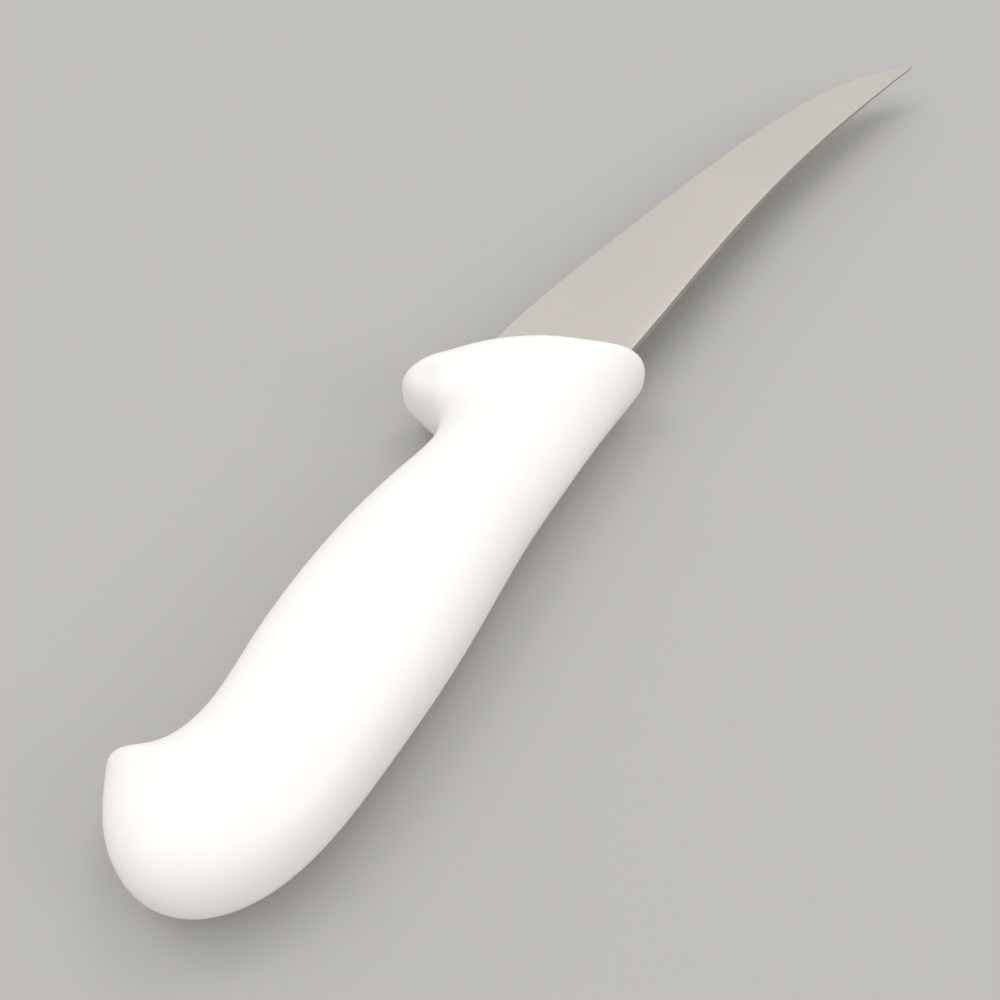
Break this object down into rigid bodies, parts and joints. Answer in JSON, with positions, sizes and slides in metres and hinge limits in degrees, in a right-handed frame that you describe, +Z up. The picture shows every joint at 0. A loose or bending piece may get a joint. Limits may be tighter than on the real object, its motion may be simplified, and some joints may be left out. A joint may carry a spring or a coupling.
{
  "type": "boning knife",
  "caption": "Boning knife with a narrow, upswept, flat-ground steel blade and a smooth white moulded handle with a finger guard and a hooked pommel.",
  "frame": {"origin": "on the plane the knife rests on, under the centre of its bounding box", "axes": "+X from the pommel to the tip of the blade, +Y towards the cutting edge, +Z up, out of the knife's left side as it lies on its right side"},
  "size_m": [0.2846, 0.0592, 0.0202],
  "materials": {
    "blade": "fine satin, honed bevel along the edge",
    "handle_core": "plain moulded",
    "handle_grip": "smooth white, satin"
  },
  "bodies": {
    "root": {"blade": "blade", "handle_core": "handle_core", "handle_grip": "handle_grip"}
  },
  "joints": []
}
